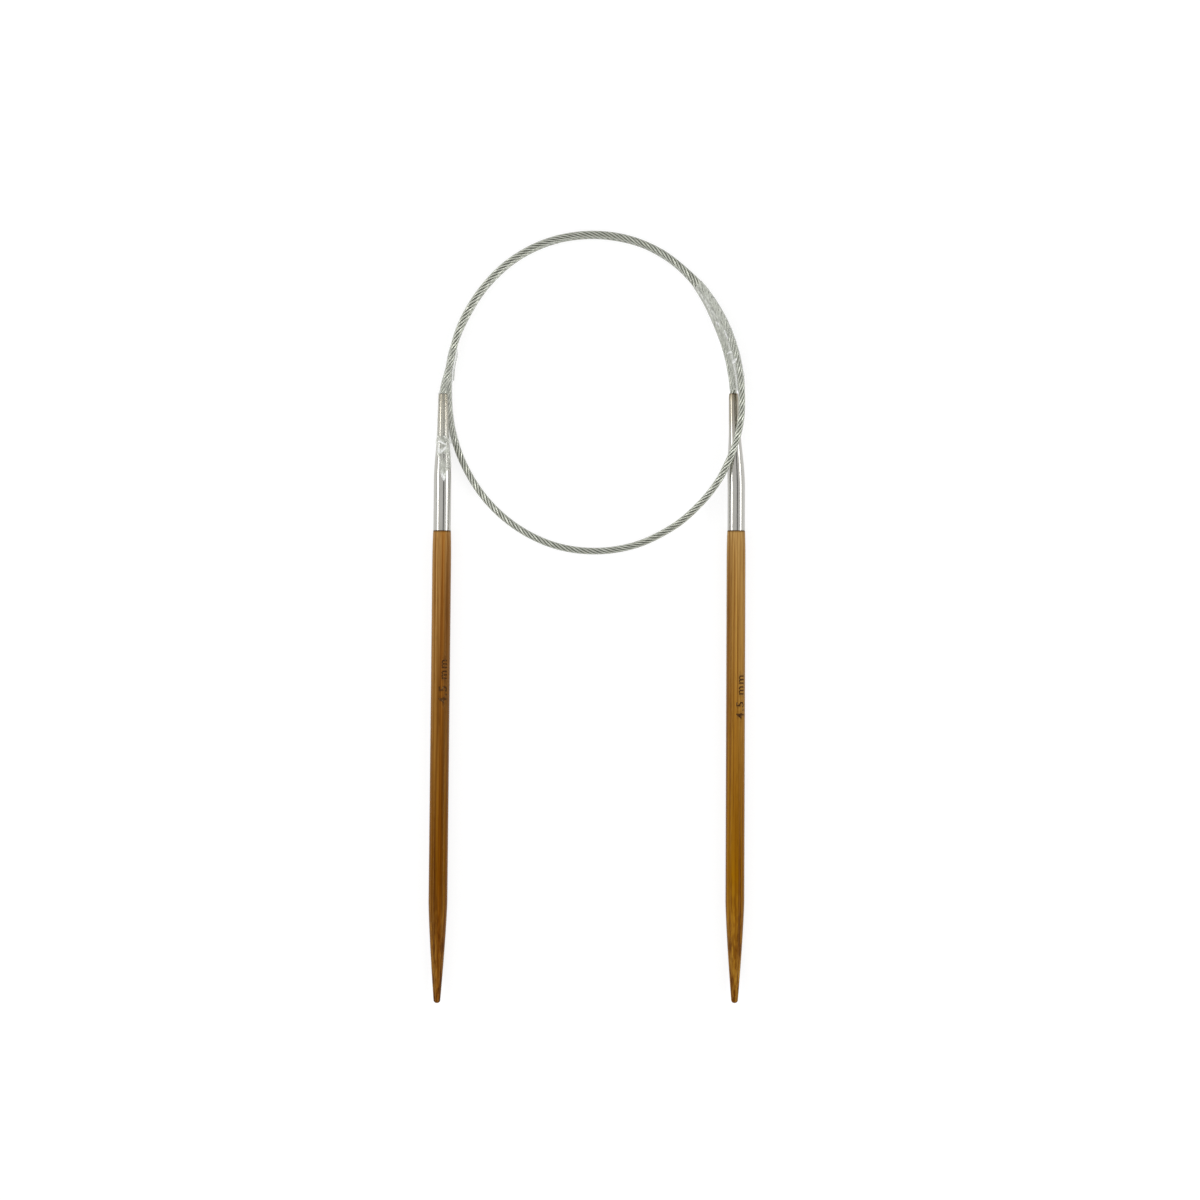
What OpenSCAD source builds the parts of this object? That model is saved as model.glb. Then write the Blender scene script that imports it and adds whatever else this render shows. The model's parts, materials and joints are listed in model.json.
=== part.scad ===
// Circular knitting needle: two bamboo needles joined by one coated wire cable, which is
// coiled one and a half turns and held by two clear film ties.
// Millimetres. The needles lie along Y on the table z = 0 with their tips towards -Y, and
// the origin is on the table, midway between the needles and halfway along them.

/* [Bamboo shafts] */
// Needle size: diameter of each shaft
needle_d = 4.5; // [4.3:0.05:6]
// Bamboo that shows, from its ferrule to its tip
shaft_length = 112; // [90:1:140]
// Length of the tapered tip
tip_length = 24; // [16:1:32]
// Diameter of the blunt point
tip_d = 1.5; // [1:0.1:2.2]
// Fullness of the taper, where 1 is a straight cone
tip_fullness = 1.3; // [1:0.05:1.8]
// Length over which the shaft narrows to the size of its ferrule
waist_length = 9; // [5:1:16]
// How far the bamboo stands proud of its ferrule
joint_step = 0.03; // [0:0.01:0.1]
// Tenon turned on the bamboo, which is glued into the ferrule
tenon_length = 9; // [6:0.5:9]
// Chamfer round the end of the tenon
tenon_chamfer = 0.3; // [0.1:0.05:0.5]

/* [Ferrules] */
// Ferrule from the bamboo to its mouth, along its middle
ferrule_length = 32.5; // [31:0.5:40]
// Diameter of the barrel round the tenon
ferrule_d = 4.16; // [3.9:0.02:4.5]
// Straight part of the barrel
barrel_length = 9.5; // [9.3:0.1:11]
// Wall of the barrel round the tenon
barrel_wall = 0.36; // [0.25:0.01:0.6]
// Angle by which the neck is bent from the barrel
neck_bend = 2; // [0.5:0.5:4]
// Radius of that bend
bend_radius = 60; // [40:5:80]
// Length over which the barrel narrows to the neck
taper_length = 14.6; // [10:0.2:16]
// Diameter of the neck where the narrowing ends
neck_d = 2.6; // [2.4:0.05:3]
// Diameter of the neck where its mouth starts to round off
mouth_d = 2.3; // [2.1:0.05:2.4]
// Length of the rounded mouth
mouth_length = 1.8; // [1:0.1:2.4]
// Wall left at the lip of the mouth
lip_wall = 0.08; // [0.05:0.01:0.12]
// Chamfer round the rim of the barrel
rim_chamfer = 0.1; // [0.05:0.01:0.2]

/* [Cable] */
// Diameter of the cable over its clear coating
cable_d = 1.6; // [1.3:0.05:1.7]
// Diameter of the wire rope inside the coating
wire_d = 1.1; // [0.8:0.05:1.2]
// Bare wire that stands out behind its crimp
wire_tail = 0.5; // [0.2:0.1:0.8]

/* [Crimps] */
// Diameter of the sleeve crimped on each end of the wire
crimp_d = 2.2; // [2:0.05:2.4]
// Length of that sleeve
crimp_length = 5; // [4:0.1:5.2]
// Distance from the mouth back to the step that the crimp seats on
crimp_seat = 14; // [13:0.5:15]
// Depth of the grooves rolled into the crimp
crimp_groove = 0.12; // [0.05:0.01:0.2]

/* [Layout] */
// Distance between the mouths of the two needles
mouth_spacing = 68.7; // [68.6:0.1:72]
// How far to the right of the origin the middle between the mouths lies
mouth_offset = 0.35; // [0:0.05:0.6]
// Lean of the left needle, clockwise seen from above
left_lean = 0.63; // [0:0.01:1]
// Lean of the right needle, clockwise seen from above
right_lean = 0.2; // [0:0.01:1]

/* [Film ties] */
// Thickness of the clear film
film = 0.06; // [0.04:0.01:0.1]

/* [Fits] */
// Glue all round the tenon
glue_gap = 0.03; // [0.02:0.01:0.06]
// Room round the crimp and round the cable inside the ferrule
cable_gap = 0.05; // [0.03:0.01:0.08]
// Room round the wire inside its crimp
wire_gap = 0.02; // [0.01:0.01:0.04]
// Room between the film and what it is wrapped round
film_gap = 0.1; // [0.08:0.01:0.14]
// Room left behind the tenon, at the bottom of its socket
glue_room = 0.2; // [0.1:0.05:0.3]
// Room between the loop's ends and the rounded ends of the cable that the needles swing on
hinge_gap = 0.3; // [0.2:0.05:0.4]

/* [Hidden] */

round_fn = 64;
waist_steps = 6;
taper_steps = 12;
nose_steps = 6;
cable_sides = 8;
film_sides = 16;

needle_r = needle_d / 2;
tip_r = tip_d / 2;
ferrule_r = ferrule_d / 2;
joint_r = ferrule_r + joint_step;
socket_r = ferrule_r - barrel_wall;
socket_depth = tenon_length + glue_room;
tenon_r = socket_r - glue_gap;
chamber_r = crimp_d / 2 + cable_gap;
cable_r = cable_d / 2;
wire_r = wire_d / 2;
bore_r = cable_r + cable_gap;
lip_r = bore_r + lip_wall;

// The bend's wall is let this far into the barrel and the neck, and lies this far inside
// their surfaces, so that the ferrule is one solid.
bend_lap = 0.1;
bend_inset = 0.005;

// The ferrule's middle line: straight barrel, short bend, straight neck.
bend_length = bend_radius * neck_bend * PI / 180;
bend_end = [bend_radius * (1 - cos(neck_bend)), 0, barrel_length + bend_radius * sin(neck_bend)];
neck_length = ferrule_length - barrel_length - bend_length;
seat = neck_length - crimp_seat;

// The cable leaves both mouths at this distance along Y.
mouth_y = (shaft_length + ferrule_length) / 2;

// Each needle: its mouth across the pair, its lean, and the way that its neck is rolled.
// The left neck bends up and the right neck bends in, towards the loop.
MOUTH_X = 0;
LEAN = 1;
ROLL = 2;
left = [mouth_offset - mouth_spacing / 2, -left_lean, -90];
right = [mouth_offset + mouth_spacing / 2, -right_lean, 180];

// The cable's route, from the left mouth over the top, down the right side and over the
// right ferrule, round the bottom, up the left side and over the top again to the right
// mouth. Each row is the angle clockwise from the top of the loop, the distance from the
// loop's middle, and the height above the table.
loop_middle = [2.1, 0.25];
route = [
    [-80, 35.6, 2.95], [-65, 35.7, 2.75], [-50, 36.3, 2.55], [-35, 37.05, 2.5],
    [-20, 37.5, 2.5], [-5, 37.55, 2.5], [10, 37.3, 2.5], [25, 36.6, 2.55],
    [40, 35.6, 2.75], [50, 35.1, 3], [60, 34.7, 3.35], [70, 34.45, 3.7],
    [80, 34.4, 4.1], [90, 34.5, 4.4], [100, 34.9, 4.65], [109, 35.15, 4.85],
    [117, 35.4, 4.75], [127, 35.85, 3.9], [138, 36.2, 2.75], [150, 36.75, 1.8],
    [165, 37.35, 1.15], [180, 37.6, 0.9], [195, 37.55, 0.85], [210, 37.05, 0.85],
    [225, 36.4, 0.85], [240, 35.7, 0.95], [255, 35.25, 1], [270, 35, 1],
    [285, 35.4, 1], [300, 35.85, 0.9], [315, 36.55, 0.85], [330, 37.25, 0.85],
    [345, 37.55, 0.85], [360, 37.5, 0.85], [375, 37.1, 0.85], [388, 36.35, 0.95],
    [400, 35.2, 1.05], [410, 34, 1.2], [420, 33, 1.5], [430, 32.55, 1.85],
    [440, 32.4, 2.2]
];
left_hinge = route[0][0];
right_hinge = route[len(route) - 1][0];

// ---- Small helpers ----
function unit(v) = v / norm(v);
function mix(a, b, t) = a + (b - a) * t;
function ease(t) = (1 - cos(180 * t)) / 2;
function flat(lists) = [for (list = lists) each list];

// ---- Where a point of a needle lies in the whole part ----
// A needle is drawn with its shoulder at the origin and its ferrule along +Z.
function turned(p, a) = [p.x * cos(a) - p.y * sin(a), p.x * sin(a) + p.y * cos(a), p.z];
function laid(p) = [p.x, p.z, -p.y];
function swung(n, p) = turned(laid(turned(p, n[ROLL])), n[LEAN]);
function neck_point(v) = bend_end + v * [sin(neck_bend), 0, cos(neck_bend)];
function shoulder(n) = let (m = swung(n, neck_point(neck_length)))
    [n[MOUTH_X] - m.x, mouth_y - m.y, needle_r];
function on_neck(n, v) = shoulder(n) + swung(n, neck_point(v));
function out_of(n) = swung(n, [sin(neck_bend), 0, cos(neck_bend)]);

module placed(n) {
    translate(shoulder(n)) rotate([0, 0, n[LEAN]]) rotate([-90, 0, 0]) rotate([0, 0, n[ROLL]])
        children();
}

module at_neck() {
    translate(bend_end) rotate([0, neck_bend, 0]) children();
}

// ---- The cable's middle line, as a smooth curve through its route ----
// It leaves each mouth straight along the neck.
function on_loop(row) = [
    loop_middle.x + row[1] * sin(row[0]),
    mouth_y + loop_middle.y + row[1] * cos(row[0]),
    row[2]
];
turns = concat([-90], [for (row = route) row[0]], [450]);
way = concat([on_neck(left, neck_length)], [for (row = route) on_loop(row)],
             [on_neck(right, neck_length)]);
spans = len(way) - 1;

function along(i, t) = let (
    b = way[i],
    c = way[i + 1],
    a = i > 0 ? way[i - 1] : c - 2 * norm(c - b) * out_of(left),
    d = i + 1 < spans ? way[i + 2] : b - 2 * norm(c - b) * out_of(right)
) (2 * b + (c - a) * t + (2 * a - 5 * b + 4 * c - d) * t * t
    + (3 * b - a - 3 * c + d) * t * t * t) / 2;
function span_at(turn) = max([for (i = [0:spans - 1]) if (turns[i] <= turn) i]);
function cable_at(turn) = let (i = span_at(turn)) along(i, (turn - turns[i]) / (turns[i + 1] - turns[i]));

// ---- Swept solids ----
function heading(line, i) = unit(line[min(i + 1, len(line) - 1)] - line[max(i - 1, 0)]);
function ring(middle, dir, r, sides) = let (across = unit(cross(dir, [0, 0, 1])), up = cross(across, dir))
    [for (k = [0:sides - 1]) middle + r * (cos(360 * k / sides) * across + sin(360 * k / sides) * up)];
function band(start, n, next) = [for (k = [0:n - 1]) each [
    [start + k, start + (k + 1) % n, next + k],
    [start + (k + 1) % n, next + (k + 1) % n, next + k]
]];

// One closed solid through a list of rings that have as many points each.
module skin(rings) {
    n = len(rings[0]);
    last = (len(rings) - 1) * n;
    polyhedron(
        points = flat(rings),
        faces = concat(
            [[for (k = [n - 1:-1:0]) k]],
            flat([for (i = [0:len(rings) - 2]) band(i * n, n, (i + 1) * n)]),
            [[for (k = [0:n - 1]) last + k]]
        ),
        convexity = 8
    );
}

// The same with a hollow inside: outer and inner hold as many rings of as many points.
module sleeve(outer, inner) {
    n = len(outer[0]);
    count = len(outer);
    far = (count - 1) * n;
    hollow = count * n;
    polyhedron(
        points = concat(flat(outer), flat(inner)),
        faces = concat(
            flat([for (i = [0:count - 2]) band(i * n, n, (i + 1) * n)]),
            [for (i = [0:count - 2]) for (f = band(hollow + i * n, n, hollow + (i + 1) * n)) [f[2], f[1], f[0]]],
            band(hollow, n, 0),
            [for (f = band(hollow + far, n, far)) [f[2], f[1], f[0]]]
        ),
        convexity = 8
    );
}

// ---- Bamboo shaft ----
function tip_radius(s) = tip_r + (needle_r - tip_r) * (1 - pow(1 - s / tip_length, tip_fullness));
function waist_radius(s) = needle_r - (needle_r - joint_r) * pow(1 - s / waist_length, 3);

module shaft() {
    point = -shaft_length;
    color("peru") rotate_extrude($fn = round_fn) polygon(concat(
        [[0, tenon_length], [tenon_r - tenon_chamfer, tenon_length], [tenon_r, tenon_length - tenon_chamfer],
         [tenon_r, 0]],
        [for (i = [0:waist_steps]) let (s = waist_length * i / waist_steps) [waist_radius(s), -s]],
        [for (i = [taper_steps:-1:1]) let (s = tip_r + (tip_length - tip_r) * i / taper_steps)
            [tip_radius(s), point + s]],
        [for (i = [0:nose_steps]) let (a = 90 * i / nose_steps)
            [tip_radius(tip_r) * cos(a), point + tip_r * (1 - sin(a))]]
    ));
}

// ---- Ferrule ----
// Outer radius of the neck at the distance v from the bend.
function neck_radius(v) = let (round_at = neck_length - mouth_length)
    v < taper_length ? mix(ferrule_r, neck_d / 2, ease(v / taper_length))
    : v < round_at ? mix(neck_d, mouth_d, (v - taper_length) / (round_at - taper_length)) / 2
    : lip_r + (mouth_d / 2 - lip_r) * sqrt(max(0, 1 - pow((v - round_at) / mouth_length, 2)));

module ferrule() {
    round_at = neck_length - mouth_length;
    lap_angle = bend_lap / bend_radius * 180 / PI;
    color("silver") {
        // Barrel, with the socket for the tenon and the start of the crimp's chamber
        rotate_extrude($fn = round_fn) polygon([
            [socket_r, 0], [ferrule_r - rim_chamfer, 0], [ferrule_r, rim_chamfer],
            [ferrule_r, barrel_length], [chamber_r, barrel_length], [chamber_r, socket_depth],
            [socket_r, socket_depth]
        ]);
        // Bend
        translate([bend_radius, 0, barrel_length]) rotate([90, 0, 180]) rotate(-lap_angle)
            rotate_extrude(angle = neck_bend + 2 * lap_angle, $fn = 360)
                translate([bend_radius, 0]) difference() {
                    circle(ferrule_r - bend_inset, $fn = round_fn);
                    circle(chamber_r + bend_inset, $fn = round_fn);
                }
        // Neck, with the rest of the chamber, the step for the crimp and the cable's bore
        at_neck() rotate_extrude($fn = round_fn) polygon(concat(
            [[bore_r, seat], [chamber_r, seat], [chamber_r, 0]],
            [for (i = [0:taper_steps]) let (v = taper_length * i / taper_steps) [neck_radius(v), v]],
            [for (i = [0:nose_steps]) let (v = round_at + mouth_length * sin(90 * i / nose_steps))
                [neck_radius(v), v]],
            [[bore_r, neck_length]]
        ));
    }
}

// ---- Crimp and wire end ----
module crimp() {
    crimp_r = crimp_d / 2;
    groove_w = crimp_length / 5;
    grooves = [1.5 * groove_w, 3.5 * groove_w];
    color("lightsteelblue") at_neck() translate([0, 0, seat - crimp_length])
        rotate_extrude($fn = round_fn) polygon(concat(
            [[wire_r + wire_gap, crimp_length], [wire_r + wire_gap, 0], [crimp_r, 0]],
            [for (g = grooves) each [
                [crimp_r, g - groove_w / 2], [crimp_r - crimp_groove, g - groove_w / 4],
                [crimp_r - crimp_groove, g + groove_w / 4], [crimp_r, g + groove_w / 2]
            ]],
            [[crimp_r, crimp_length]]
        ));
}

module wire_end() {
    length = crimp_length + wire_tail;
    color("slategray") at_neck() translate([0, 0, seat - length]) cylinder(h = length, r = wire_r, $fn = round_fn);
}

// ---- Cable ----
// The stretch that each needle carries: from the crimp through the neck to the hinge, with
// a round end on the hinge so that the needle can swing.
module lead(n, outside) {
    line = concat([on_neck(n, seat), on_neck(n, neck_length)], outside);
    end = line[len(line) - 1];
    dir = heading(line, len(line) - 1);
    color("darkseagreen") skin(concat(
        [for (i = [0:len(line) - 1]) ring(line[i], heading(line, i), cable_r, cable_sides)],
        [for (a = [35, 70]) ring(end + cable_r * sin(a) * dir, dir, cable_r * cos(a), cable_sides)]
    ));
}

module loop() {
    // Its flat ends stand clear of the rounded ends that swing on the hinges.
    clear_by = cable_r + hinge_gap;
    middles = [for (i = [1:spans - 2]) each i == 1 ? [along(i, 0.5)] : [along(i, 0), along(i, 0.5)]];
    start = cable_at(left_hinge);
    end = cable_at(right_hinge);
    line = concat(
        [start + clear_by * unit(middles[0] - along(0, 0.5))],
        middles,
        [end - clear_by * unit(along(spans - 1, 0.5) - middles[len(middles) - 1])]
    );
    color("darkseagreen") skin([for (i = [0:len(line) - 1])
        ring(line[i], heading(line, i), cable_r, cable_sides)]);
}

// ---- Film ties ----
// A station is two round things side by side, each [middle, radius], and the way the film
// runs there. The film goes round both like a belt.
function belt(station, gap) = let (
    a = station[0],
    b = station[1],
    across = unit(cross(station[2], [0, 0, 1]))
) [for (k = [0:film_sides - 1]) let (
    n = cos(360 * k / film_sides) * across + sin(360 * k / film_sides) * [0, 0, 1],
    to_a = a[0] * n + a[1],
    to_b = b[0] * n + b[1],
    c = to_a > to_b ? a : b
) c[0] + (c[1] + gap) * n];

module tie(stations) {
    color("lightcyan") sleeve([for (s = stations) belt(s, film_gap + film)], [for (s = stations) belt(s, film_gap)]);
}

// Both turns of the cable at the same angle
function two_turns(turn) = [
    [cable_at(turn), cable_r], [cable_at(turn + 360), cable_r], [cos(turn), -sin(turn), 0]
];
// The left neck, and the second turn of the cable beside it. The film doesn't follow the
// rounding of the mouth.
function neck_and_cable(turn) = let (
    c = cable_at(turn),
    v = neck_length + c.y - mouth_y
) [[on_neck(left, v), neck_radius(min(v, neck_length - mouth_length))], [c, cable_r], [0, 1, 0]];

// ---- The sub-parts ----
module left_shaft() placed(left) shaft();
module right_shaft() placed(right) shaft();
module left_ferrule() placed(left) ferrule();
module right_ferrule() placed(right) ferrule();
module left_crimp() placed(left) crimp();
module right_crimp() placed(right) crimp();
module left_wire_end() placed(left) wire_end();
module right_wire_end() placed(right) wire_end();
module left_lead() lead(left, [for (t = [0.25:0.25:1]) along(0, t)]);
module right_lead() lead(right, [for (t = [0.75:-0.25:0]) along(spans - 1, t)]);
module cable_loop() loop();
module left_tie() tie(concat(
    [for (turn = [250:4:270]) neck_and_cable(turn)],
    [for (turn = [-87.5:3.75:-72.5]) two_turns(turn)]
));
module right_tie() tie([for (turn = [45:5:85]) two_turns(turn)]);

left_shaft();
right_shaft();
left_ferrule();
right_ferrule();
left_crimp();
right_crimp();
left_wire_end();
right_wire_end();
left_lead();
right_lead();
cable_loop();
left_tie();
right_tie();
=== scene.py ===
"""Finishes the circular knitting needle: bamboo shafts, nickel ferrules, the coated wire cable and
its film ties, on a pale table under soft light. Lengths are in metres, in the part's own frame."""

import functools
import json
import math

import bmesh
import bpy
from bpy.props import FloatProperty, FloatVectorProperty, IntProperty, PointerProperty, StringProperty
from mathutils import Matrix, Vector, kdtree, noise


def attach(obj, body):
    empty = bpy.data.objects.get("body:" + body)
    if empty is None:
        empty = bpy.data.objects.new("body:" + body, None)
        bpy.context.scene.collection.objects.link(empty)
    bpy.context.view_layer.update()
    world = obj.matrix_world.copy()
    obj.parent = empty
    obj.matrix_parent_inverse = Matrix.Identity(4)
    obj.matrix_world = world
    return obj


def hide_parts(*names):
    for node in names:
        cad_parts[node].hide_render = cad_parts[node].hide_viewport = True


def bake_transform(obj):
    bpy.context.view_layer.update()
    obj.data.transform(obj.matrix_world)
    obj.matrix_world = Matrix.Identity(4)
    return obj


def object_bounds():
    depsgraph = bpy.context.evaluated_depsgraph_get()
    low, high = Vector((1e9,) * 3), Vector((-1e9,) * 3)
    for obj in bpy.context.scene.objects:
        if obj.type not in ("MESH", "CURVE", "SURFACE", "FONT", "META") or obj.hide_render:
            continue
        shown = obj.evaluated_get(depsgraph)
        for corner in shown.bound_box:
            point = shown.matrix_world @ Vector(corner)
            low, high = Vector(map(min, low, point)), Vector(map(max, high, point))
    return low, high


bl_info = {
    "name": "Circular knitting needle",
    "version": (1, 0, 0),
    "blender": (4, 5, 0),
    "location": "View3D > Sidebar > Needle",
    "description": "Builds the looks of a circular knitting needle round its packed frame",
    "category": "Object",
}

MM = 0.001
QUARTER = math.pi / 2
UP = Vector((0, 0, 1))
SIDES = ("left", "right")

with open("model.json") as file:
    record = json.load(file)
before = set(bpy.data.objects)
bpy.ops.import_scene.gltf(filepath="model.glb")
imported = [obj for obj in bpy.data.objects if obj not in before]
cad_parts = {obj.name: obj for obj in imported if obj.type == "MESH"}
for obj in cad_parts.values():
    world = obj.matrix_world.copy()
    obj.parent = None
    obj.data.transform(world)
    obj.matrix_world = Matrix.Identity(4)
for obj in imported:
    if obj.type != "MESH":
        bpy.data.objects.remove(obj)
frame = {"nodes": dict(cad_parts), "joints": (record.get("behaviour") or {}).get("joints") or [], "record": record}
cad_box = [list(corner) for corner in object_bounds()]

# The way that each ferrule's neck is rolled: the left one bends up and the right one bends in.
ROLL = {"left": math.radians(-90), "right": math.radians(180)}

# The cable's route, from the left mouth over the top, down the right side and over the right
# ferrule, round the bottom, up the left side and over the top again to the right mouth. Each row
# is the angle clockwise from the top of the loop, the distance from the loop's middle and the
# height above the table. The loop's middle is given from the line between the two mouths.
LOOP_MIDDLE = (0.0021, 0.00025)
ROUTE = [
    (-80, 0.0352, 0.00295), (-65, 0.0357, 0.00275), (-50, 0.0363, 0.00255), (-35, 0.03705, 0.0025),
    (-20, 0.0375, 0.0025), (-5, 0.03755, 0.0025), (10, 0.0373, 0.0025), (25, 0.0366, 0.00255),
    (40, 0.0356, 0.00275), (50, 0.0351, 0.003), (60, 0.0347, 0.00335), (70, 0.03445, 0.0037),
    (80, 0.0344, 0.0041), (90, 0.0345, 0.0044), (100, 0.0349, 0.00465), (109, 0.03515, 0.00485),
    (117, 0.0354, 0.00475), (127, 0.03585, 0.0039), (138, 0.0362, 0.00275), (150, 0.03675, 0.0018),
    (165, 0.03735, 0.00115), (180, 0.0376, 0.0009), (195, 0.03755, 0.00085), (210, 0.03705, 0.00085),
    (225, 0.0364, 0.00085), (240, 0.0357, 0.00095), (255, 0.03525, 0.001), (270, 0.035, 0.001),
    (285, 0.0354, 0.001), (300, 0.0356, 0.0009), (315, 0.0363, 0.00085), (330, 0.037, 0.00085),
    (345, 0.0373, 0.00085), (360, 0.0372, 0.00085), (375, 0.0369, 0.00085), (388, 0.0362, 0.00095),
    (400, 0.0352, 0.00105), (410, 0.034, 0.0012), (420, 0.033, 0.0015), (430, 0.03255, 0.00185),
    (440, 0.0324, 0.0022),
]
MOUTH_TURNS = (-90, 450)
TURN_STEP = 0.25
# The turns at which the loop's own cable takes over from the cable that each needle carries
SEAM_TURNS = (-63, 421)


# ---- Sizes and colours ----


def number(name, description, default, unit="NONE"):
    """A setting that is a number."""
    return FloatProperty(name=name, description=description, default=default, unit=unit)


def metres(name, description, default):
    """A setting that is a length."""
    return number(name, description, default, "LENGTH")


def paint(name, description, default):
    """A setting that is a colour."""
    return FloatVectorProperty(name=name, description=description, subtype="COLOR", default=default)


def settings(group):
    """The scene's settings of one group: shaft, ferrule, cable, film or studio."""
    return getattr(bpy.context.scene, "needle_" + group)


class ShaftSettings(bpy.types.PropertyGroup):
    """A bamboo shaft."""

    length: metres("Length", "From the ferrule to the tip", 0.112)
    diameter: metres("Diameter", "Needle size", 0.0045)
    tip_length: metres("Tip length", "Tapered stretch", 0.024)
    tip_diameter: metres("Tip diameter", "Blunt point", 0.0015)
    fullness: number("Tip fullness", "1 is a straight cone", 1.3)
    waist: metres("Waist length", "Narrowing at the ferrule", 0.009)
    step: metres("Step", "Bamboo proud of the ferrule", 0.00003)
    tenon: metres("Tenon length", "Inside the ferrule", 0.009)
    tenon_radius: metres("Tenon radius", "Inside the ferrule", 0.00169)
    steps: IntProperty(name="Steps", description="Faces round the shaft", default=128)
    size_text: StringProperty(name="Size mark", description="Figures cut into the shaft", default="4.5 mm")
    text_height: metres("Figure size", "Size of the figures", 0.0029)
    text_depth: metres("Figure depth", "Depth of the cut", 0.00007)
    left_upper: paint("Left, upper", "Bamboo near the ferrule", (0.455, 0.24, 0.074))
    left_lower: paint("Left, lower", "Bamboo near the tip", (0.228, 0.085, 0.001))
    right_upper: paint("Right, upper", "Bamboo near the ferrule", (0.54, 0.322, 0.108))
    right_lower: paint("Right, lower", "Bamboo near the tip", (0.355, 0.15, 0.0005))


class FerruleSettings(bpy.types.PropertyGroup):
    """A nickel-plated ferrule."""

    length: metres("Length", "Along its middle", 0.0325)
    diameter: metres("Diameter", "Barrel", 0.00416)
    barrel: metres("Barrel length", "Straight part", 0.0095)
    wall: metres("Barrel wall", "Round the tenon", 0.00036)
    socket: metres("Socket depth", "For the tenon", 0.0092)
    bend: number("Neck bend", "From the barrel", math.radians(2), "ROTATION")
    bend_radius: metres("Bend radius", "Of that bend", 0.06)
    taper: metres("Taper length", "Barrel to neck", 0.0146)
    neck: metres("Neck diameter", "After the taper", 0.0026)
    mouth: metres("Mouth diameter", "Before it rounds off", 0.0023)
    nose: metres("Mouth length", "Rounded mouth", 0.0018)
    lip: metres("Lip wall", "Wall left at the mouth", 0.00008)
    chamber: metres("Chamber radius", "Round the crimp", 0.00115)
    seat: metres("Crimp seat", "Behind the mouth", 0.014)
    rim: metres("Rim chamfer", "At the bamboo", 0.0001)
    steps: IntProperty(name="Steps", description="Faces round the ferrule", default=128)
    color: paint("Nickel", "Plating", (0.5, 0.49, 0.46))
    tarnish: paint("Tarnish", "Brown tint at the mouth", (0.32, 0.285, 0.21))


class CableSettings(bpy.types.PropertyGroup):
    """The coated wire rope."""

    diameter: metres("Diameter", "Over the coating", 0.0016)
    gap: metres("Gap", "Round the cable in its bore", 0.00005)
    strand: metres("Strand", "Diameter of a strand", 0.0005)
    strands: IntProperty(name="Strands", description="Round the core", default=6)
    lay: metres("Lay", "One turn of a strand", 0.0084)
    spacing: metres("Spacing", "Between rings", 0.0003)
    steel: paint("Steel", "Wires", (0.88, 0.9, 0.82))
    coating: paint("Coating", "Clear coat", (0.5, 0.52, 0.46))
    crimp: paint("Crimp", "Sleeve on the wire", (0.5, 0.5, 0.48))
    wire: paint("Wire end", "Bare wire in its crimp", (0.46, 0.46, 0.44))


class FilmSettings(bpy.types.PropertyGroup):
    """The clear film ties."""

    thickness: metres("Thickness", "Of the film", 0.00004)
    gap: metres("Gap", "Round what it holds", 0.00006)
    seam: metres("Seam", "Where the film laps over itself", 0.0011)
    wrinkle: metres("Wrinkles", "Height of its wrinkles", 0.00006)
    color: paint("Film", "Cloudy film", (0.8, 0.82, 0.74))
    # Painted light: film where it is creased, partly its own whitening and partly painted glints.
    crease_and_glint: paint("Creases", "Film at a crease", (0.95, 0.96, 0.94))


class StudioSettings(bpy.types.PropertyGroup):
    """Table, lamps and camera."""

    view_width: metres("View width", "What the camera takes in at the needle", 0.2844)
    aim_x: metres("Aim, across", "From the middle of the needle", 0.00308)
    aim_y: metres("Aim, along", "From the frame's origin", 0.0233)
    lens: number("Lens", "Focal length", 180.0, "CAMERA")
    sensor: number("Sensor", "Sensor width", 36.0, "CAMERA")
    table: metres("Table radius", "Flat part", 3.0)
    rim: metres("Table rim", "Radius of the curve up to the backdrop", 0.8)
    wall: metres("Backdrop height", "Above the table", 1.6)
    table_color: paint("Table", "Table and backdrop", (0.3, 0.3, 0.3))
    glow: number("Glow", "What lifts the table to white", 0.8)
    air: number("Room", "Level of the room's own light", 0.22)
    lamp_distance: metres("Lamp distance", "To the lamps", 1.25)
    lamp_length: metres("Lamp length", "Along the needles", 2.2)


# ---- Shader expressions ----


class Signal:
    """One output of a finish's nodes. Each operator on it adds its Math node."""

    def __init__(self, finish, socket):
        self.finish = finish
        self.socket = socket

    def __add__(self, other):
        return self.finish.math("ADD", self, other)

    def __radd__(self, other):
        return self.finish.math("ADD", other, self)

    def __sub__(self, other):
        return self.finish.math("SUBTRACT", self, other)

    def __rsub__(self, other):
        return self.finish.math("SUBTRACT", other, self)

    def __mul__(self, other):
        return self.finish.math("MULTIPLY", self, other)

    def __truediv__(self, other):
        return self.finish.math("DIVIDE", self, other)

    def __pow__(self, other):
        return self.finish.math("POWER", self, other)


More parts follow.
